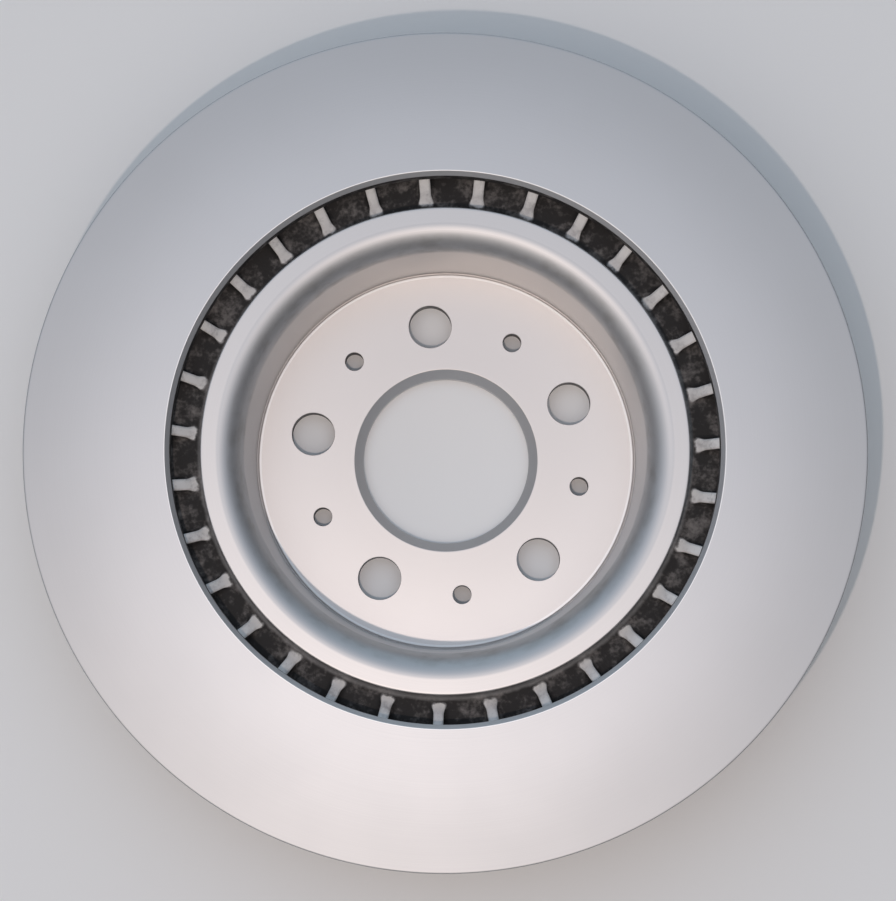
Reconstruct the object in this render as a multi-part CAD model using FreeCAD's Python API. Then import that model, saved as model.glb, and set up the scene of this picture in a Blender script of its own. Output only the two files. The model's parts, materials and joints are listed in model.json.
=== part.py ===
import FreeCAD, Part
import math
import os

# Ventilated brake disc: one iron casting with two friction plates, thirty-one vanes between them and a
# bell (hat) that bolts to the hub. Millimetres. Z is the axis of rotation. Z = 0 is the wheel face of
# the bell, and +Z points to the vehicle. One stud hole lies on +Y.

# Friction ring
disc_diameter = 322.0
disc_thickness = 28.0
inboard_plate_thickness = 8.5
outboard_plate_thickness = 9.0
rim_chamfer = 0.5
ring_bore_chamfer = 1.7

# Bell, from the hub outwards
overall_height = 60.0
flange_thickness = 7.5
hub_face_diameter = 149.4
hub_groove_width = 0.7
hub_groove_depth = 0.8
hub_face_edge_break = 0.3
bell_draft = 3.8
bell_mouth_round = 10.0
bell_wall = 8.5
bell_outer_draft = 2.0
bell_foot_chamfer = 2.0
collar_land = 5.6
collar_drop = 7.2
collar_chamfer = 0.8
inlet_gap = 11.2

# Outboard side, where the bell meets the friction plate
relief_width = 15.0
relief_depth = 1.2
relief_chamfer = 2.5

# Centre bore and hole circle
hub_bore_diameter = 66.0
hub_bore_chamfer = 3.5
wheel_bore_chamfer = 0.5
hole_circle_diameter = 108.0
stud_hole_count = 5
stud_hole_diameter = 17.0
small_hole_diameter = 7.3

# Vanes, straight and radial
vane_count = 31
vane_width = 4.2
vane_nose_setback = 3.6
vane_nose_cover = 2.8
vane_tail_inset = 4.0
vane_floor_fillet = 2.2
vane_roof_chamfer = 1.2
vane_phase = -2.4

# Heights
inboard_face_z = overall_height
outboard_face_z = overall_height - disc_thickness
vent_roof_z = inboard_face_z - inboard_plate_thickness
vent_floor_z = outboard_face_z + outboard_plate_thickness
vent_height = vent_roof_z - vent_floor_z
collar_z = inboard_face_z - collar_drop

# Radii
disc_radius = disc_diameter / 2
hub_face_radius = hub_face_diameter / 2
bell_foot_radius = hub_face_radius + hub_groove_width
wall_lean = math.tan(math.radians(bell_draft)) * (collar_z - flange_thickness)
bell_mouth_radius = bell_foot_radius + wall_lean
collar_radius = bell_mouth_radius + bell_mouth_round + collar_land
ring_bore_radius = collar_radius + inlet_gap
bell_outer_foot = bell_foot_radius + bell_wall
bell_outer_top = bell_outer_foot + math.tan(math.radians(bell_outer_draft)) * outboard_face_z
relief_radius = bell_outer_top + relief_width

# The vane's roots are limited by the height of the vent, and its ends are sunk into both plates
floor_fillet = min(vane_floor_fillet, vent_height / 4)
roof_chamfer = min(vane_roof_chamfer, vent_height / 6)
vane_sink = 1.0
vane_sink_margin = 0.3

axis_start = FreeCAD.Vector(0, 0, 0)
axis_direction = FreeCAD.Vector(0, 0, 1)


def radial_plane(r, z):
    return FreeCAD.Vector(r, 0, z)


def across_plane(y, z):
    return FreeCAD.Vector(0, y, z)


def corner(before, point, after, treatment, size):
    # Edge that replaces a corner of the section, with the points where it starts and ends
    to_before = (before - point).normalize()
    to_after = (after - point).normalize()
    if treatment == "chamfer":
        start = point + to_before * size
        end = point + to_after * size
        return start, Part.makeLine(start, end), end
    half_angle = to_before.getAngle(to_after) / 2
    reach = size / math.tan(half_angle)
    bisector = (to_before + to_after).normalize()
    middle = point + bisector * (size / math.sin(half_angle) - size)
    start = point + to_before * reach
    end = point + to_after * reach
    return start, Part.Arc(start, middle, end).toShape(), end


def outline_face(outline, plane):
    # Face in a plane; each corner of the outline is (u, v) or (u, v, "round" or "chamfer", size)
    points = [plane(entry[0], entry[1]) for entry in outline]
    edges = []
    first_start = None
    last_end = None
    for index, entry in enumerate(outline):
        start = end = points[index]
        edge = None
        if len(entry) == 4:
            after = points[(index + 1) % len(points)]
            start, edge, end = corner(points[index - 1], points[index], after, entry[2], entry[3])
        if last_end is not None:
            edges.append(Part.makeLine(last_end, start))
        else:
            first_start = start
        if edge is not None:
            edges.append(edge)
        last_end = end
    edges.append(Part.makeLine(last_end, first_start))
    return Part.Face(Part.Wire(edges))


def turned(outline):
    # Solid of revolution of a closed section of (r, z) corners
    return outline_face(outline, radial_plane).revolve(axis_start, axis_direction, 360)


def bell_and_outboard_plate():
    groove_floor_z = flange_thickness - hub_groove_depth
    return turned([
        (hub_bore_diameter / 2, 0, "chamfer", wheel_bore_chamfer),
        (bell_outer_foot, 0, "chamfer", bell_foot_chamfer),
        (bell_outer_top, outboard_face_z + relief_depth, "chamfer", relief_chamfer),
        (relief_radius - relief_depth, outboard_face_z + relief_depth),
        (relief_radius, outboard_face_z),
        (disc_radius, outboard_face_z, "chamfer", rim_chamfer),
        (disc_radius, vent_floor_z),
        (collar_radius, vent_floor_z),
        (collar_radius, collar_z, "chamfer", collar_chamfer),
        (bell_mouth_radius, collar_z, "round", bell_mouth_round),
        (bell_foot_radius, groove_floor_z),
        (hub_face_radius, groove_floor_z),
        (hub_face_radius, flange_thickness, "chamfer", hub_face_edge_break),
        (hub_bore_diameter / 2 + hub_bore_chamfer, flange_thickness),
        (hub_bore_diameter / 2, flange_thickness - hub_bore_chamfer),
    ])


def inboard_plate():
    return turned([
        (ring_bore_radius, vent_roof_z),
        (disc_radius, vent_roof_z),
        (disc_radius, inboard_face_z, "chamfer", rim_chamfer),
        (ring_bore_radius, inboard_face_z, "chamfer", ring_bore_chamfer),
    ])


def vane_bar(length):
    # Bar with the vane's section across it: a web that spreads into both plates
    half = vane_width / 2
    floor_half = half + floor_fillet + vane_sink_margin
    roof_half = half + roof_chamfer + vane_sink_margin
    low_z = vent_floor_z - vane_sink
    high_z = vent_roof_z + vane_sink
    section = outline_face([
        (-floor_half, low_z),
        (floor_half, low_z),
        (floor_half, vent_floor_z),
        (half, vent_floor_z, "round", floor_fillet),
        (half, vent_roof_z, "chamfer", roof_chamfer),
        (roof_half, vent_roof_z),
        (roof_half, high_z),
        (-roof_half, high_z),
        (-roof_half, vent_roof_z),
        (-half, vent_roof_z, "chamfer", roof_chamfer),
        (-half, vent_floor_z, "round", floor_fillet),
        (-floor_half, vent_floor_z),
    ], across_plane)
    return section.extrude(FreeCAD.Vector(length, 0, 0))


def vane():
    # One vane along +X, seen from its side: the nose leans back from the vent floor to the roof
    tail_r = disc_radius - vane_tail_inset
    foot_nose_r = collar_radius + vane_nose_setback
    roof_nose_r = ring_bore_radius + vane_nose_cover
    foot_start_r = foot_nose_r - floor_fillet
    low_z = vent_floor_z - vane_sink
    high_z = vent_roof_z + vane_sink
    half_bar = vane_width / 2 + floor_fillet + vane_sink_margin
    side_view = outline_face([
        (foot_start_r, low_z),
        (foot_start_r, vent_floor_z),
        (foot_nose_r, vent_floor_z, "round", floor_fillet),
        (roof_nose_r, vent_roof_z),
        (roof_nose_r, high_z),
        (tail_r, high_z),
        (tail_r, low_z),
    ], radial_plane)
    side_view.translate(FreeCAD.Vector(0, -half_bar, 0))
    return side_view.extrude(FreeCAD.Vector(0, 2 * half_bar, 0)).common(vane_bar(disc_radius))


def around_axis(shape, count, first_angle):
    copies = []
    for index in range(count):
        copy = shape.copy()
        copy.rotate(axis_start, axis_direction, first_angle + index * 360 / count)
        copies.append(copy)
    return copies


def flange_hole(diameter):
    # Cutter for a hole through the flange on +X
    centre = FreeCAD.Vector(hole_circle_diameter / 2, 0, 0)
    return Part.makeCylinder(diameter / 2, flange_thickness, centre)


def brake_disc():
    vanes = around_axis(vane(), vane_count, 90 + vane_phase)
    casting = bell_and_outboard_plate().fuse([inboard_plate()] + vanes)
    stud_holes = around_axis(flange_hole(stud_hole_diameter), stud_hole_count, 90)
    half_step = 180 / stud_hole_count
    small_holes = around_axis(flange_hole(small_hole_diameter), stud_hole_count, 90 + half_step)
    return casting.cut(stud_holes + small_holes).removeSplitter()


disc = brake_disc()
print("solids", len(disc.Solids), "valid", disc.isValid(), "volume", round(disc.Volume))
os.makedirs("parts", exist_ok=True)
disc.exportStep("parts/brake_disc.step")
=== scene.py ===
import json
import math

import bmesh
import bpy
import numpy as np
from mathutils import Matrix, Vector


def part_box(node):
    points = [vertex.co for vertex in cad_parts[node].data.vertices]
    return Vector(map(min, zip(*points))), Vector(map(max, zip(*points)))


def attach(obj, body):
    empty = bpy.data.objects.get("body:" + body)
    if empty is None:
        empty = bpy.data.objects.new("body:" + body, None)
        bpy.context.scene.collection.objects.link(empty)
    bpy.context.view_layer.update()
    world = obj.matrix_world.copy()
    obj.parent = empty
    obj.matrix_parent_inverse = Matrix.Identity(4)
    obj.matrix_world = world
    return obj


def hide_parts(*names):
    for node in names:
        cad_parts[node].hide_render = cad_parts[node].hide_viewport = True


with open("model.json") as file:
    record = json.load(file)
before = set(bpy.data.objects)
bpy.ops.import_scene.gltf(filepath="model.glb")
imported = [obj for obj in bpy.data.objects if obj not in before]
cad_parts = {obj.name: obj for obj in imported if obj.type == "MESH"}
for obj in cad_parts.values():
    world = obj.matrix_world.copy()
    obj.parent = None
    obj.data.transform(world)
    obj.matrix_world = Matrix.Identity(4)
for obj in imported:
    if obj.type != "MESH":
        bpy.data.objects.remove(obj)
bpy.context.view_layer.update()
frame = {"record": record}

mounts = {mount["name"]: mount for mount in frame["record"]["mounts"]}
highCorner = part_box("brake_disc")[1]
print("frame loaded")


# Camera, measured from the disc's axis and its friction face
cameraSettings = {
    "focalPixels": 2903.2,    # focal length in pixels of the photograph
    "longSidePixels": 901,
    "sensorWidth": 36.0,
    "nearest": 0.01,
    "right": 0.00972,    # metres to the right of the axis in the picture
    "up": -0.10865,    # metres up the picture from the axis
    "height": 1.1,    # metres above the friction face
    "aimRight": 0.0012,
    "aimUp": -0.00125,
    "pictureTurn": 6.77,    # degrees from the disc's own X to the picture's right
}


def pictureToDisc(right, up, height):
    # A point given along the picture's right and up, turned into the disc's own axes
    turn = math.radians(cameraSettings["pictureTurn"])
    x = right * math.cos(turn) + up * math.sin(turn)
    y = up * math.cos(turn) - right * math.sin(turn)
    return np.array([x, y, height])


def placeObject(thing, place, target, upWish):
    # Turned so that minus Z looks from place to target, with Y as near to upWish as it can be
    back = (place - target) / np.linalg.norm(place - target)
    right = np.cross(upWish, back)
    right = right / np.linalg.norm(right)
    matrix = np.eye(4)
    matrix[:3, 0], matrix[:3, 1], matrix[:3, 2], matrix[:3, 3] = right, np.cross(back, right), back, place
    thing.matrix_world = Matrix(matrix.tolist())
    bpy.context.scene.collection.objects.link(thing)


def makeCamera():
    settings = cameraSettings
    faceHeight = highCorner.z
    place = pictureToDisc(settings["right"], settings["up"], faceHeight + settings["height"])
    target = pictureToDisc(settings["aimRight"], settings["aimUp"], faceHeight)
    data = bpy.data.cameras.new("camera")
    data.sensor_width = settings["sensorWidth"]
    data.lens = settings["focalPixels"] / settings["longSidePixels"] * settings["sensorWidth"]
    data.clip_start = settings["nearest"]
    camera = bpy.data.objects.new("camera", data)
    placeObject(camera, place, target, pictureToDisc(0, 1, 0))
    bpy.context.scene.camera = camera


makeCamera()
print("camera placed")


# Helpers for the node trees
def connect(tree, value, socket):
    # A socket is linked, anything else becomes the input's own value
    if isinstance(value, bpy.types.NodeSocket):
        tree.links.new(value, socket)
    else:
        socket.default_value = value


def addNode(tree, kind, inputs=(), **options):
    # New node with its options set and its inputs filled in order
    node = tree.nodes.new(kind)
    for name, value in options.items():
        setattr(node, name, value)
    for socket, value in zip(node.inputs, inputs):
        if value is not None:
            connect(tree, value, socket)
    return node


def calculate(tree, operation, *values):
    return addNode(tree, "ShaderNodeMath", values, operation=operation).outputs[0]


def product(tree, first, *others):
    for value in others:
        first = calculate(tree, "MULTIPLY", first, value)
    return first


def highest(tree, first, *others):
    for value in others:
        first = calculate(tree, "MAXIMUM", first, value)
    return first


def vectorMath(tree, operation, *values):
    # Gives back a vector, or a number where the operation makes one
    outputs = addNode(tree, "ShaderNodeVectorMath", values, operation=operation).outputs
    return outputs["Value"] if operation in ("LENGTH", "DOT_PRODUCT") else outputs["Vector"]


def rise(tree, value, start, end):
    # 0 at start, 1 at end, with a smooth step between them; start may be above end
    node = addNode(tree, "ShaderNodeMapRange", (value, start, end, 0.0, 1.0), interpolation_type="SMOOTHSTEP")
    return node.outputs[0]


def between(tree, value, low, high, softness):
    # 1 from low to high, falling to 0 over the softness outside them
    return product(tree, rise(tree, value, low - softness, low), rise(tree, value, high + softness, high))


def riseFrom(tree, value, edge, span):
    # The same step as rise, with its start and its end counted from an edge
    return rise(tree, value, edge + span[0], edge + span[1])


def blend(tree, factor, first, second):
    node = addNode(tree, "ShaderNodeMix", data_type="RGBA")
    for socket, value in zip((node.inputs[0], node.inputs[6], node.inputs[7]), (factor, first, second)):
        connect(tree, value, socket)
    return node.outputs[2]


def lerp(tree, factor, first, second):
    node = addNode(tree, "ShaderNodeMix", data_type="FLOAT")
    for socket, value in zip((node.inputs[0], node.inputs[2], node.inputs[3]), (factor, first, second)):
        connect(tree, value, socket)
    return node.outputs[0]


def noise(tree, vector, scale, detail, roughness):
    node = addNode(tree, "ShaderNodeTexNoise", noise_dimensions="3D")
    for name, value in (("Vector", vector), ("Scale", scale), ("Detail", detail), ("Roughness", roughness)):
        connect(tree, value, node.inputs[name])
    return node.outputs[0]


def startGroup(name, inputs, outputs):
    # Empty node group with its sockets; returns it with its input sockets by name and its output node
    group = bpy.data.node_groups.new(name, "ShaderNodeTree")
    kinds = {"value": "NodeSocketFloat", "colour": "NodeSocketColor", "vector": "NodeSocketVector"}
    for socketName, kind in inputs.items():
        group.interface.new_socket(name=socketName, in_out="INPUT", socket_type=kinds[kind])
    for socketName, kind in outputs.items():
        group.interface.new_socket(name=socketName, in_out="OUTPUT", socket_type=kinds[kind])
    entry = group.nodes.new("NodeGroupInput")
    return group, entry.outputs, group.nodes.new("NodeGroupOutput")


def useGroup(tree, group, **inputs):
    node = addNode(tree, "ShaderNodeGroup", node_tree=group)
    for name, value in inputs.items():
        connect(tree, value, node.inputs[name])
    return node.outputs


# Studio: a pale floor, one key lamp near the camera, and a pale world that is cooler on one side
studioSettings = {
    "floorHalf": 30.0,
    "floorColour": (0.88, 0.87, 0.86, 1),
    "floorRoughness": 0.8,
    "warmColour": (1.0, 0.965, 0.94, 1),
    "coolColour": (0.79, 0.93, 1.15, 1),
    "horizonColour": (0.085, 0.09, 0.10, 1),
    "windowColour": (0.56, 0.72, 0.86, 1),
    "backdropColour": (0.50, 0.53, 0.58, 1),
    "coolAim": (0.1, 1.0, 0.0),    # right, up and height, as in the picture
    "overheadAim": (-0.2, -0.08, 1.0),
    "windowAim": (-0.1, 1.0, 0.3),
    "coolSpread": (-0.5, 0.5),    # cosines from the aim, where each starts and where it is full
    "overheadSpread": (0.3, 1.0),
    "windowSpread": (0.55, 0.95),
    "backdropSpread": (0.14, 0.05),
    "worldStrength": 0.83,
    "keySize": 0.02,
    "keyWatts": 2.2,
    "keyColour": (1.0, 0.835, 0.75),
    "keyRight": -0.0785,
    "keyUp": -0.2386,
    "keyHeight": 0.9915,
}


def makeFloor():
    half = studioSettings["floorHalf"]
    mesh = bpy.data.meshes.new("floor")
    corners = [(-half, -half, 0), (half, -half, 0), (half, half, 0), (-half, half, 0)]
    mesh.from_pydata(corners, [], [(0, 1, 2, 3)])
    floor = bpy.data.objects.new("floor", mesh)
    bpy.context.scene.collection.objects.link(floor)
    material = bpy.data.materials.new("pale_floor")
    material.use_nodes = True
    shader = material.node_tree.nodes["Principled BSDF"]
    shader.inputs["Base Color"].default_value = studioSettings["floorColour"]
    shader.inputs["Roughness"].default_value = studioSettings["floorRoughness"]
    mesh.materials.append(material)


def makeKeyLamp():
    settings = studioSettings
    data = bpy.data.lights.new("key", "AREA")
    data.shape = "DISK"
    data.size = settings["keySize"]
    data.energy = settings["keyWatts"]
    data.color = settings["keyColour"]
    lamp = bpy.data.objects.new("key", data)
    place = pictureToDisc(settings["keyRight"], settings["keyUp"], highCorner.z + settings["keyHeight"])
    placeObject(lamp, place, np.array([0, 0, highCorner.z]), pictureToDisc(0, 1, 0))


def makeWorld():
    # Brightest overhead, warm towards the picture's foot and cool towards its top, and dim at the sides, with
    # a cool window beyond the picture's top. The camera and the metal see a pale backdrop low at the horizon
    settings = studioSettings
    world = bpy.data.worlds.new("studio")
    world.use_nodes = True
    tree = world.node_tree
    direction = addNode(tree, "ShaderNodeTexCoord").outputs["Generated"]

    def towards(aim, spread):
        aim = pictureToDisc(*aim)
        cosine = vectorMath(tree, "DOT_PRODUCT", direction, tuple(aim / np.linalg.norm(aim)))
        return rise(tree, cosine, *spread)

    cool = towards(settings["coolAim"], settings["coolSpread"])
    sky = blend(tree, cool, settings["warmColour"], settings["coolColour"])
    overhead = towards(settings["overheadAim"], settings["overheadSpread"])
    colour = blend(tree, overhead, settings["horizonColour"], sky)
    window = towards(settings["windowAim"], settings["windowSpread"])
    colour = blend(tree, window, colour, settings["windowColour"])
    rays = addNode(tree, "ShaderNodeLightPath").outputs
    seen = highest(tree, rays["Is Camera Ray"], rays["Is Glossy Ray"], rays["Is Transmission Ray"])
    backdrop = product(tree, seen, towards((0, 0, 1), settings["backdropSpread"]))
    colour = blend(tree, backdrop, colour, settings["backdropColour"])
    background = tree.nodes["Background"]
    connect(tree, colour, background.inputs["Color"])
    background.inputs["Strength"].default_value = settings["worldStrength"]
    bpy.context.scene.world = world


makeFloor()
makeKeyLamp()
makeWorld()
bpy.context.scene.view_settings.view_transform = "Standard"
print("studio lit")


meshSettings = {
    "turns": 360,    # steps around the axis
    "holeSteps": 72,
    "firstHoleDegrees": 90,    # one stud hole lies on Y
    "sharpDegrees": 32,    # steeper edges than this stay sharp in the shading
    "supportReach": 0.0006,    # how far the support points stand from a rounding
}

# The casting's section, in metres, from the axis outwards
castingSettings = {
    "plateInboard": 0.0085,
    "plateOutboard": 0.0090,
    "rimEdge": 0.0005,
    "ringBoreEdge": 0.0017,
    "hubFaceRadius": 0.0747,
    "grooveWidth": 0.0007,
    "grooveDepth": 0.0008,
    "draftDegrees": 3.8,
    "mouthRound": 0.010,
    "collarLand": 0.0056,
    "collarDrop": 0.0072,
    "inletGap": 0.0112,
    "bellWall": 0.0085,
    "outerDraftDegrees": 2.0,
    "reliefWidth": 0.015,
    "reliefDepth": 0.0012,
    "hubBoreEdge": 0.0035,
    "fineEdge": 0.00025,    # the break on an edge that looks sharp
    "holeEdge": 0.00015,
    "wheelBoreRound": 0.0004,
    "bellFootRound": 0.0018,
    "bellNeckRound": 0.0026,
    "reliefRound": 0.0008,
    "collarFootRound": 0.0018,
    "collarRound": 0.0006,
    "grooveRound": 0.0003,
    "roofLipRound": 0.0008,
}


def measureCasting():
    # The section's own sizes with the heights and radii that follow from them and from the frame
    c = dict(castingSettings)
    c["rimRadius"] = highCorner.x
    c["faceHigh"] = highCorner.z
    c["faceLow"] = mounts["outboard_friction_face"]["pos_m"][2]
    c["flange"] = mounts["hub_face"]["pos_m"][2]
    c["boreRadius"] = mounts["centre_bore"]["dims"]["r_mm"] / 1000
    c["roof"] = c["faceHigh"] - c["plateInboard"]
    c["floor"] = c["faceLow"] + c["plateOutboard"]
    c["collarTop"] = c["faceHigh"] - c["collarDrop"]
    c["wallFoot"] = c["hubFaceRadius"] + c["grooveWidth"]
    wallLean = math.tan(math.radians(c["draftDegrees"])) * (c["collarTop"] - c["flange"])
    c["wallMouth"] = c["wallFoot"] + wallLean
    c["collarRadius"] = c["wallMouth"] + c["mouthRound"] + c["collarLand"]
    c["ringBore"] = c["collarRadius"] + c["inletGap"]
    c["outerFoot"] = c["wallFoot"] + c["bellWall"]
    c["outerTop"] = c["outerFoot"] + math.tan(math.radians(c["outerDraftDegrees"])) * c["faceLow"]
    c["relief"] = c["outerTop"] + c["reliefWidth"]
    return c


casting = measureCasting()


def roundedSection(corners):
    # Closed outline in (r, z). Each corner is (r, z, radius, steps): the radius is rolled between the two
    # straight sides, steps + 1 points follow its arc, and a support point stands just beyond each end
    points = []
    places = np.array([corner[:2] for corner in corners])
    for index, (r, z, radius, steps) in enumerate(corners):
        here = places[index]
        before = places[index - 1] - here
        after = places[(index + 1) % len(corners)] - here
        toBefore = before / np.linalg.norm(before)
        toAfter = after / np.linalg.norm(after)
        half = math.acos(np.clip(toBefore @ toAfter, -1, 1)) / 2
        reach = radius / math.tan(half)
        bisector = (toBefore + toAfter) / np.linalg.norm(toBefore + toAfter)
        centre = here + bisector * radius / math.sin(half)
        start = here + toBefore * reach - centre
        end = here + toAfter * reach - centre
        sweep = math.pi - 2 * half
        amount = np.linspace(0, 1, steps + 1)[:, None]
        arc = centre + (np.sin((1 - amount) * sweep) * start + np.sin(amount * sweep) * end) / math.sin(sweep)
        support = min(radius, meshSettings["supportReach"])
        points.append(np.vstack([arc[0] + toBefore * support, arc, arc[-1] + toAfter * support]))
    return np.vstack(points)


def newPiece(name, vertices, faces):
    # Mesh object with its faces turned outwards
    mesh = bpy.data.meshes.new(name)
    mesh.from_pydata(vertices.tolist(), [], faces)
    work = bmesh.new()
    work.from_mesh(mesh)
    bmesh.ops.recalc_face_normals(work, faces=work.faces)
    work.to_mesh(mesh)
    work.free()
    piece = bpy.data.objects.new(name, mesh)
    bpy.context.scene.collection.objects.link(piece)
    return piece


def gridFaces(rows, columns, closedRows):
    # Quads of a grid that closes on itself across its columns, and across its rows if asked
    row = np.arange(rows if closedRows else rows - 1)[:, None]
    column = np.arange(columns)[None, :]
    nextRow = (row + 1) % rows
    nextColumn = (column + 1) % columns
    corners = [row * columns + column, row * columns + nextColumn,
               nextRow * columns + nextColumn, nextRow * columns + column]
    return np.stack([np.broadcast_to(c, (len(row), columns)) for c in corners], -1).reshape(-1, 4)


def copiesAroundAxis(rings, angles):
    # Vertices and faces of one stack of rings per angle (copies, rows, steps, xyz), each closed by two caps
    copies, rows, steps = rings.shape[:3]
    x, y, z = np.moveaxis(rings.reshape(copies, -1, 3), -1, 0)
    cosine, sine = np.cos(np.radians(angles))[:, None], np.sin(np.radians(angles))[:, None]
    vertices = np.stack([x * cosine - y * sine, x * sine + y * cosine, z], -1).reshape(-1, 3)
    sides = gridFaces(rows, steps, False)
    faces = []
    for index in range(copies):
        first = index * rows * steps
        last = first + (rows - 1) * steps
        faces += (sides + first).tolist()
        faces += [list(range(first, first + steps)), list(range(last, last + steps))]
    return vertices, faces


def turnedShell(name, section):
    # Surface of revolution: a point (r, z) of the closed section, turned through angle a, is at
    # (r cos a, r sin a, z)
    angle = np.linspace(0, 2 * math.pi, meshSettings["turns"], endpoint=False)[None, :]
    r, z = section[:, 0:1], section[:, 1:2]
    vertices = np.stack([r * np.cos(angle), r * np.sin(angle), z + 0 * angle], -1).reshape(-1, 3)
    return newPiece(name, vertices, gridFaces(len(section), meshSettings["turns"], True).tolist())


def makeBell():
    c = casting
    fine = c["fineEdge"]
    grooveFloor = c["flange"] - c["grooveDepth"]
    return turnedShell("bell", roundedSection([
        (c["boreRadius"], 0, c["wheelBoreRound"], 2),
        (c["outerFoot"], 0, c["bellFootRound"], 6),
        (c["outerTop"], c["faceLow"] + c["reliefDepth"], c["bellNeckRound"], 8),
        (c["relief"] - c["reliefDepth"], c["faceLow"] + c["reliefDepth"], c["reliefRound"], 4),
        (c["relief"], c["faceLow"], fine, 2),
        (c["rimRadius"], c["faceLow"], c["rimEdge"], 3),
        (c["rimRadius"], c["floor"], fine, 2),
        (c["collarRadius"], c["floor"], c["collarFootRound"], 6),
        (c["collarRadius"], c["collarTop"], c["collarRound"], 4),
        (c["wallMouth"], c["collarTop"], c["mouthRound"], 16),
        (c["wallFoot"], grooveFloor, c["grooveRound"], 2),
        (c["hubFaceRadius"], grooveFloor, c["grooveRound"], 2),
        (c["hubFaceRadius"], c["flange"], c["grooveRound"], 3),
        (c["boreRadius"] + c["hubBoreEdge"], c["flange"], fine, 2),
        (c["boreRadius"], c["flange"] - c["hubBoreEdge"], fine, 2),
    ]))


def makeInboardPlate():
    c = casting
    fine = c["fineEdge"]
    chamfer = c["ringBoreEdge"]
    return turnedShell("inboard_plate", roundedSection([
        (c["ringBore"], c["roof"], c["roofLipRound"], 4),
        (c["rimRadius"], c["roof"], fine, 2),
        (c["rimRadius"], c["faceHigh"], c["rimEdge"], 3),
        (c["ringBore"] + chamfer, c["faceHigh"], fine, 2),
        (c["ringBore"], c["faceHigh"] - chamfer, fine, 2),
    ]))


vaneSettings = {
    "count": 31,
    "phaseDegrees": -2.4,
    "width": 0.0042,
    "noseSetback": 0.0036,
    "noseCover": 0.0028,
    "tailInset": 0.004,
    "floorFillet": 0.0022,
    "roofFillet": 0.0014,
    "cornerRound": 0.0013,
    "sink": 0.001,    # how far each end goes into its plate
    "skin": 0.00002,    # how far from a plate its fillet runs out
    "unevenWidth": 0.00012,    # cast vanes differ a little from each other
    "unevenNose": 0.00025,
    "seed": 31,
    "rootSteps": 7,
    "cornerSteps": 6,
}


def makeVanes():
    # One vane is a rounded rectangle carried up from the floor to the roof. At height h its half width is
    # the web's half width plus a hollow quarter circle at each root, and its nose leans back with h
    c, v = casting, vaneSettings
    height = c["roof"] - c["floor"]
    bend = 1 - np.cos(np.linspace(0, math.pi / 2, v["rootSteps"]))
    lower = [-v["sink"], v["skin"], *v["floorFillet"] * bend[1:]]
    upper = [*height - v["roofFillet"] * bend[:0:-1], height - v["skin"], height + v["sink"]]
    levels = np.array(lower + upper)
    inside = np.clip(levels, 0, height)[:, None]
    below = np.clip(1 - inside / v["floorFillet"], 0, 1)
    above = np.clip(1 - (height - inside) / v["roofFillet"], 0, 1)
    flare = v["floorFillet"] * (1 - np.sqrt(1 - below ** 2)) + v["roofFillet"] * (1 - np.sqrt(1 - above ** 2))
    uneven = np.random.default_rng(v["seed"]).uniform(-1, 1, (2, v["count"], 1, 1))
    half = v["width"] / 2 + flare + v["unevenWidth"] * uneven[0]
    noseFoot = c["collarRadius"] + v["noseSetback"]
    noseHead = c["ringBore"] + v["noseCover"]
    nose = noseFoot + (noseHead - noseFoot) * inside / height - flare + v["unevenNose"] * uneven[1]
    tail = c["rimRadius"] - v["tailInset"] + flare / 2
    corner = v["cornerRound"] + flare / 2
    quarter = np.linspace(0, math.pi / 2, v["cornerSteps"])
    turn = np.concatenate([quarter + k * math.pi / 2 for k in range(4)])[None, :]
    atNose = np.repeat([False, True, True, False], len(quarter))[None, :]
    side = np.repeat([1, 1, -1, -1], len(quarter))[None, :]
    x = np.where(atNose, nose + corner, tail - corner) + corner * np.cos(turn)
    y = side * (half - corner) + corner * np.sin(turn)
    z = c["floor"] + levels[:, None] + 0 * x
    angles = 90 + v["phaseDegrees"] + np.arange(v["count"]) * 360 / v["count"]
    return newPiece("vanes", *copiesAroundAxis(np.stack([x, y, z], -1), angles))


def makeHoleCutters(mount, firstAngle):
    # Round pins on the pitch circle, a little wider at both faces of the flange
    fine = casting["holeEdge"]
    flange = casting["flange"]
    radius = mount["dims"]["hole_r_mm"] / 1000
    angle = np.linspace(0, 2 * math.pi, meshSettings["holeSteps"], endpoint=False)[None, :]
    radii = radius + fine * np.array([2, 0, 0, 2])[:, None]
    heights = np.array([-fine, fine, flange - fine, flange + fine])[:, None]
    x = mount["dims"]["pcd_mm"] / 2000 + radii * np.cos(angle)
    count = mount["dims"]["count"]
    rings = np.repeat(np.stack([x, radii * np.sin(angle), heights + 0 * angle], -1)[None], count, 0)
    return newPiece("cutters", *copiesAroundAxis(rings, firstAngle + np.arange(count) * 360 / count))


def combine(piece, other, operation):
    modifier = piece.modifiers.new(operation.lower(), "BOOLEAN")
    modifier.operation = operation
    modifier.object = other
    modifier.solver = "MANIFOLD"
    graph = bpy.context.evaluated_depsgraph_get()
    result = bpy.data.meshes.new_from_object(piece.evaluated_get(graph))
    piece.modifiers.clear()
    piece.data = result
    bpy.data.objects.remove(other)


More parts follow.
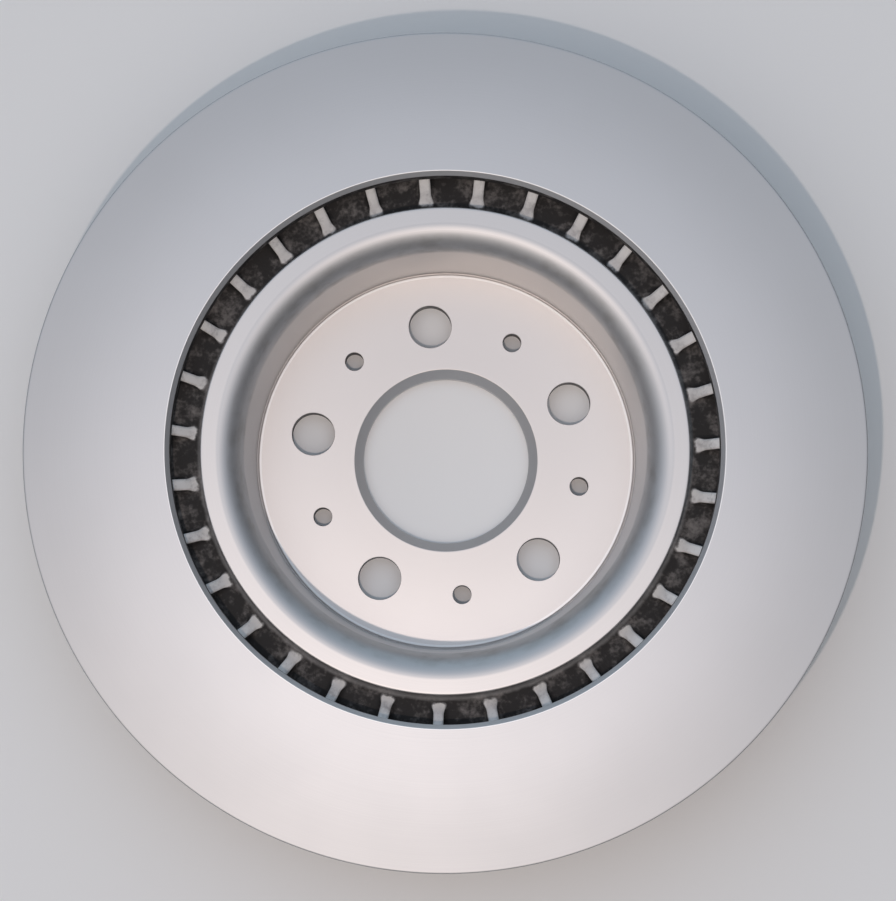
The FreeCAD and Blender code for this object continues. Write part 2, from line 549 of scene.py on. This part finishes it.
def makeDisc():
    disc = makeBell()
    disc.name = "disc_casting"
    firstHole = meshSettings["firstHoleDegrees"]
    halfStep = 180 / mounts["wheel_studs"]["dims"]["count"]
    combine(disc, makeHoleCutters(mounts["wheel_studs"], firstHole), "DIFFERENCE")
    combine(disc, makeHoleCutters(mounts["retaining_holes"], firstHole + halfStep), "DIFFERENCE")
    combine(disc, makeInboardPlate(), "UNION")
    combine(disc, makeVanes(), "UNION")
    disc.data.name = "disc_casting"
    disc.data.polygons.foreach_set("use_smooth", np.ones(len(disc.data.polygons), dtype=bool))
    disc.data.set_sharp_from_angle(angle=math.radians(meshSettings["sharpDegrees"]))
    weighted = disc.modifiers.new("weighted", "WEIGHTED_NORMAL")
    weighted.keep_sharp = True
    print("casting", len(disc.data.polygons), "faces")
    return disc


disc = makeDisc()


# One material for the casting: a satin silver coat, and dark iron where the coat does not reach
coatSettings = {
    "boreColour": (0.605, 0.605, 0.615, 1),    # painted sheen: the ring is painted lighter at its bore and darker towards its rim
    "rimColour": (0.505, 0.505, 0.51, 1),
    # painted shade in the bell's mouth rounding
    "smudgeColour": (0.40, 0.39, 0.38, 1),
    "hubColour": (0.705, 0.67, 0.65, 1),    # the inside of the bell has a lighter, warmer finish
    # painted highlight: the hub face is painted lighter towards its lip
    "hubLipColour": (0.77, 0.735, 0.715, 1),
    "acrossHub": (36.0, 76.0),    # the radii between which one goes over into the other
    "edgeColour": (0.88, 0.87, 0.86, 1),    # painted highlight on thin edges
    "noseColour": (0.93, 0.92, 0.91, 1),
    "noseShade": (0.56, 0.55, 0.55, 1),
    "ironColour": (0.026, 0.024, 0.024, 1),
    "ironLight": (0.23, 0.215, 0.208, 1),
    "coatMetallic": 0.92,
    "roughMetallic": 0.05,
    "coatRoughness": 0.45,
    "castRoughness": 0.75,
    "ringDepth": 0.0000016,    # metres
    "grainDepth": 0.00012,
}
castingMm = {name: value * 1000 for name, value in casting.items()}    # the material reads millimetres


def discCoordinatesGroup():
    # Millimetres from the disc's own origin, with the radius from its axis and the height. Inwards is how far
    # the surface faces the axis
    group, _, out = startGroup("disc_coordinates", {}, {"Millimetres": "vector", "Radius": "value",
                                                        "Height": "value", "Inwards": "value"})
    source = addNode(group, "ShaderNodeTexCoord").outputs
    place = vectorMath(group, "MULTIPLY", source["Object"], (1000, 1000, 1000))
    flat = vectorMath(group, "MULTIPLY", place, (1, 1, 0))
    outwards = vectorMath(group, "DOT_PRODUCT", source["Normal"], vectorMath(group, "NORMALIZE", flat))
    connect(group, place, out.inputs["Millimetres"])
    connect(group, vectorMath(group, "LENGTH", flat), out.inputs["Radius"])
    connect(group, addNode(group, "ShaderNodeSeparateXYZ", (place,)).outputs[2], out.inputs["Height"])
    connect(group, product(group, outwards, -1.0), out.inputs["Inwards"])
    return group


def turnedRingsGroup():
    # Fine circles left by the lathe: noise read along radius and height only, so it is the same all round
    group, given, out = startGroup("turned_rings", {"Radius": "value", "Height": "value"}, {"Depth": "value"})
    along = calculate(group, "MULTIPLY_ADD", given["Height"], 1.3, given["Radius"])
    cut = addNode(group, "ShaderNodeTexNoise", noise_dimensions="1D")
    for name, value in (("W", along), ("Scale", 3.0), ("Detail", 1.0), ("Roughness", 0.6)):
        connect(group, value, cut.inputs[name])
    connect(group, cut.outputs[0], out.inputs["Depth"])
    return group


def castSkinGroup():
    # Sand-cast skin: rounded grains of about a millimetre, and patches where it is lighter
    outputs = {"Depth": "value", "Light": "value"}
    group, given, out = startGroup("cast_skin", {"Millimetres": "vector"}, outputs)
    grain = noise(group, given["Millimetres"], 0.8, 2.0, 0.6)
    patches = noise(group, given["Millimetres"], 0.16, 2.0, 0.6)
    connect(group, grain, out.inputs["Depth"])
    connect(group, rise(group, lerp(group, 0.7, grain, patches), 0.45, 0.75), out.inputs["Light"])
    return group


def satinCoatGroup():
    # Zinc-flake coat: a fine speckle of flakes over slow changes of colour, with the lathe's circles showing
    # through. Under these lies painted sheen: the coat is painted lighter at the ring's bore, darker at its
    # rim, and midway on the bell
    given = {"Millimetres": "vector", "Radius": "value", "Rings": "value"}
    group, given, out = startGroup("satin_coat", given, {"Colour": "colour", "Roughness": "value"})
    c = castingMm
    flakes = noise(group, given["Millimetres"], 4.0, 1.0, 0.7)
    clouds = noise(group, given["Millimetres"], 0.03, 2.0, 0.55)
    speckle = lerp(group, 0.4, lerp(group, 0.5, flakes, clouds), given["Rings"])
    onRing = rise(group, given["Radius"], c["collarRadius"] + 2.0, c["collarRadius"] + 4.0)
    # painted sheen: lighter towards the ring's bore, darker towards its rim, midway on the bell
    sheenAndSpeckle = lerp(group, onRing, 0.5, rise(group, given["Radius"], c["ringBore"], c["rimRadius"]))
    sheenAndSpeckle = calculate(group, "ADD", sheenAndSpeckle, calculate(group, "MULTIPLY_ADD", speckle, 0.5, -0.25))
    colour = blend(group, sheenAndSpeckle, coatSettings["boreColour"], coatSettings["rimColour"])
    connect(group, colour, out.inputs["Colour"])
    gloss = calculate(group, "MULTIPLY_ADD", given["Rings"], 0.06, product(group, clouds, 0.02))
    connect(group, calculate(group, "ADD", gloss, coatSettings["coatRoughness"]), out.inputs["Roughness"])
    return group


# Where the spray does not reach, and the darker walls of the holes, in millimetres. A pair says where a place
# starts and where it is full, from the edge in its name
bareSettings = {
    "wanderScale": 0.35,
    "wander": 3.0,    # how far a spray's edge strays from side to side
    "footWander": 0.4,    # the share of it at the collar's foot
    "noseWander": 0.3,
    "fromCollar": (-0.3, -0.1),
    "fromRim": (-2.0, -8.0),    # near the rim the vents are sprayed
    "ventBelow": 0.1,
    "ventAbove": 0.4,
    "ventSoftness": 0.3,
    "noseFacing": (0.1, 0.32),    # how far a nose has to face the axis
    "noseFromBore": (5.0, 1.0),
    "noseFromFloor": (0.0, 0.45),
    "footFromCollar": (2.6, 0.8),    # some spray lies on the fillet at the collar's foot
    "footShare": 0.4,
    "wallSoftness": 0.2,
    "boreWallOutside": 0.1,
    "holesFrom": 40.0,    # radii around both kinds of holes
    "holesTo": 68.0,
    "holesBelow": 0.35,    # how far under the hub face a hole's wall turns dark
    "holesAbove": 0.5,    # and how far over the wheel face
    "holesShare": 0.8,
}


def barePlacesGroup():
    # Bare is 1 where the spray does not reach, on the vents and the wall of the ring's bore, and it also
    # darkens the holes' walls.
    # Nose is 1 on the rough, sprayed noses of the vanes. The edge of each region wanders with a noise
    given = {"Millimetres": "vector", "Radius": "value", "Height": "value", "Inwards": "value"}
    group, given, out = startGroup("bare_places", given, {"Bare": "value", "Nose": "value"})
    c, b = castingMm, bareSettings
    radius, height = given["Radius"], given["Height"]
    stray = noise(group, given["Millimetres"], b["wanderScale"], 2.0, 0.6)
    wander = calculate(group, "MULTIPLY_ADD", stray, b["wander"], -b["wander"] / 2)
    wideRadius = calculate(group, "ADD", radius, wander)
    footRadius = calculate(group, "MULTIPLY_ADD", wander, b["footWander"], radius)
    noseHeight = calculate(group, "MULTIPLY_ADD", wander, b["noseWander"], height)

    ventLow, ventHigh = c["floor"] - b["ventBelow"], c["roof"] + b["ventAbove"]
    inVent = product(group, between(group, height, ventLow, ventHigh, b["ventSoftness"]),
                     riseFrom(group, radius, c["collarRadius"], b["fromCollar"]),
                     riseFrom(group, wideRadius, c["rimRadius"], b["fromRim"]))
    nose = product(group, inVent, rise(group, given["Inwards"], *b["noseFacing"]),
                   riseFrom(group, wideRadius, c["ringBore"], b["noseFromBore"]),
                   riseFrom(group, noseHeight, c["floor"], b["noseFromFloor"]))
    collarFoot = riseFrom(group, footRadius, c["collarRadius"], b["footFromCollar"])
    ventBare = product(group, inVent, calculate(group, "MULTIPLY_ADD", collarFoot, -b["footShare"], 1.0))

    soft = b["wallSoftness"]
    chamferFoot = c["faceHigh"] - c["ringBoreEdge"]
    boreWallEnd = c["ringBore"] + b["boreWallOutside"]
    onBoreWall = product(group, between(group, radius, c["ringBore"] - soft, boreWallEnd, soft),
                         between(group, height, c["roof"] - soft, chamferFoot - soft, soft))
    holeWallTop = c["flange"] - b["holesBelow"]
    onHoleWall = product(group, between(group, radius, b["holesFrom"], b["holesTo"], 1.0),
                         between(group, height, b["holesAbove"], holeWallTop, soft), b["holesShare"])
    bare = highest(group, calculate(group, "SUBTRACT", ventBare, nose), onBoreWall, onHoleWall)
    connect(group, bare, out.inputs["Bare"])
    connect(group, nose, out.inputs["Nose"])
    return group


# The finer finish inside the bell, the painted highlights on two thin edges and the painted shade in the
# bell's rounding, in millimetres and pairs as above
finishAndLightSettings = {
    "edge": 0.2,    # softness of a turned edge
    "bellFromMouth": (6.0, 5.0),
    "faceFromFlange": (-0.4, -0.2),
    "grooveFromLip": (-0.1, 0.0),
    "grooveFromFlange": (0.6, 0.1),
    "wallFromCollar": (-6.0, -11.0),
    "wallShare": 0.45,    # how much of the hub face's finish the bell's wall and collar have
    "landFromCollar": (-1.0, -0.4),
    "landShare": 0.5,
    "lipStart": 1.0,    # the lip's painted highlight, from the hub face's edge inwards
    "lipEnd": 0.4,
    "boreTopSoftness": 0.15,
    "boreTopStart": 0.05,
    "boreTopEnd": 0.2,
    "boreTopFromFace": (-0.4, -0.2),
    "smudgeStart": 8.0,    # the band of painted shade in the rounding, from the collar downwards
    "smudgeEnd": 3.0,
    "smudgeSoftness": 4.0,
    "smudgeScale": 0.09,
    "smudgeStretch": (1.0, 1.0, 2.5),
    "smudgeShare": 0.6,
}


def finishAndPaintedLightGroup():
    # Hub is 1 on the hub face and in its groove, and less on the bell's wall and its collar. The edge output
    # is 1 on two thin edges with a painted highlight: the lip of the hub face and the top of the ring's bore.
    # The last output is where the bell's rounding gets painted shade, in patches
    given = {"Millimetres": "vector", "Radius": "value", "Height": "value"}
    outputs = {"Hub": "value", "Edge": "value", "Smudge": "value"}
    group, given, out = startGroup("finished_places", given, outputs)
    c, f = castingMm, finishAndLightSettings
    radius, height = given["Radius"], given["Height"]
    edge, lipRadius, collarTop = f["edge"], c["hubFaceRadius"], c["collarTop"]
    inBell = riseFrom(group, radius, c["wallMouth"], f["bellFromMouth"])
    atFlange = riseFrom(group, height, c["flange"], f["faceFromFlange"])
    chamferRadius = c["boreRadius"] + c["hubBoreEdge"]
    face = product(group, between(group, radius, chamferRadius, lipRadius, edge), atFlange)
    groove = product(group, riseFrom(group, radius, lipRadius, f["grooveFromLip"]),
                     riseFrom(group, height, c["flange"], f["grooveFromFlange"]), inBell)
    wall = product(group, inBell, riseFrom(group, height, collarTop, f["wallFromCollar"]),
                   rise(group, radius, lipRadius, lipRadius + edge), f["wallShare"])
    land = product(group, between(group, radius, c["wallMouth"] + c["mouthRound"], c["collarRadius"], 1.0),
                   riseFrom(group, height, collarTop, f["landFromCollar"]), f["landShare"])
    connect(group, highest(group, face, groove, wall, land), out.inputs["Hub"])

    lipLow, lipHigh = lipRadius - f["lipStart"], lipRadius - f["lipEnd"]
    lip = product(group, between(group, radius, lipLow, lipHigh, edge), atFlange)
    boreEdge = c["ringBore"] + c["ringBoreEdge"]
    boreLow, boreHigh = boreEdge - f["boreTopStart"], boreEdge + f["boreTopEnd"]
    boreTop = product(group, between(group, radius, boreLow, boreHigh, f["boreTopSoftness"]),
                      riseFrom(group, height, c["faceHigh"], f["boreTopFromFace"]))
    connect(group, highest(group, lip, boreTop), out.inputs["Edge"])

    shadeStretched = vectorMath(group, "MULTIPLY", given["Millimetres"], f["smudgeStretch"])
    patches = rise(group, noise(group, shadeStretched, f["smudgeScale"], 3.0, 0.6), 0.42, 0.72)
    bandLow, bandHigh = collarTop - f["smudgeStart"], collarTop - f["smudgeEnd"]
    band = between(group, height, bandLow, bandHigh, f["smudgeSoftness"])
    connect(group, product(group, inBell, band, patches, f["smudgeShare"]), out.inputs["Smudge"])
    return group


def bumpNormal(tree, height, strength, distance, normal):
    node = addNode(tree, "ShaderNodeBump")
    node.inputs["Distance"].default_value = distance
    for name, value in (("Height", height), ("Strength", strength), ("Normal", normal)):
        if value is not None:
            connect(tree, value, node.inputs[name])
    return node.outputs["Normal"]


def makeCoatedIron():
    settings = coatSettings
    material = bpy.data.materials.new("coated_iron")
    material.use_nodes = True
    tree = material.node_tree
    shader = tree.nodes["Principled BSDF"]
    here = useGroup(tree, discCoordinatesGroup())
    onSection = {"Radius": here["Radius"], "Height": here["Height"]}
    everywhere = {"Millimetres": here["Millimetres"]}
    skin = useGroup(tree, castSkinGroup(), **everywhere)
    rings = useGroup(tree, turnedRingsGroup(), **onSection)
    coat = useGroup(tree, satinCoatGroup(), Radius=here["Radius"], Rings=rings["Depth"], **everywhere)
    finishAndLight = useGroup(tree, finishAndPaintedLightGroup(), **everywhere, **onSection)
    places = useGroup(tree, barePlacesGroup(), Inwards=here["Inwards"], **everywhere, **onSection)
    rough = highest(tree, places["Bare"], places["Nose"])
    smooth = calculate(tree, "SUBTRACT", 1.0, rough)

    # painted highlight: the hub colour grows lighter towards the hub face's lip
    acrossHub = rise(tree, here["Radius"], *settings["acrossHub"])
    hub = blend(tree, acrossHub, settings["hubColour"], settings["hubLipColour"])
    colour = blend(tree, finishAndLight["Hub"], coat["Colour"], hub)
    # painted highlights on two thin edges: the hub face's lip and the top of the ring's bore
    colour = blend(tree, finishAndLight["Edge"], colour, settings["edgeColour"])
    # painted shade in patches on the bell's mouth rounding
    colour = blend(tree, finishAndLight["Smudge"], colour, settings["smudgeColour"])
    nose = blend(tree, skin["Light"], settings["noseColour"], settings["noseShade"])
    iron = blend(tree, skin["Light"], settings["ironColour"], settings["ironLight"])
    colour = blend(tree, places["Bare"], blend(tree, places["Nose"], colour, nose), iron)
    connect(tree, colour, shader.inputs["Base Color"])
    connect(tree, lerp(tree, rough, coat["Roughness"], settings["castRoughness"]), shader.inputs["Roughness"])
    metallic = lerp(tree, rough, settings["coatMetallic"], settings["roughMetallic"])
    connect(tree, metallic, shader.inputs["Metallic"])
    normal = bumpNormal(tree, rings["Depth"], smooth, settings["ringDepth"], None)
    normal = bumpNormal(tree, skin["Depth"], rough, settings["grainDepth"], normal)
    connect(tree, normal, shader.inputs["Normal"])
    return material


disc.data.materials.clear()
disc.data.materials.append(makeCoatedIron())
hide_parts("brake_disc")
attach(disc, "root")
print("disc finished")
